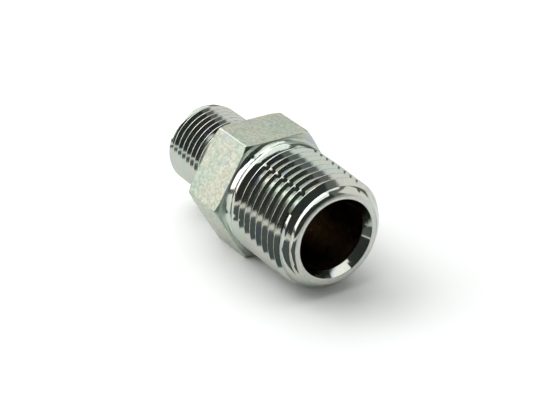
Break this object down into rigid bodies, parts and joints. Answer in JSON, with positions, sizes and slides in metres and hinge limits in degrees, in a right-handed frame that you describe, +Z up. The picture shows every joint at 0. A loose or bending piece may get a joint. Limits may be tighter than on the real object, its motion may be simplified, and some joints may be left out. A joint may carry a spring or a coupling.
{
  "type": "reducing hex nipple",
  "caption": "One-piece steel reducing hex nipple with a male thread at each end, a hexagon between them and a stepped bore right through.",
  "frame": {"origin": "middle of the hex flat that the nipple rests on", "axes": "+X along the bore axis towards the large end, +Z up from the flat it rests on"},
  "size_m": [0.0447, 0.0256, 0.0222],
  "materials": {
    "plated_steel": "bright zinc plate with a faint green passivation"
  },
  "bodies": {
    "root": {"nipple_body": "plated_steel"}
  },
  "joints": []
}
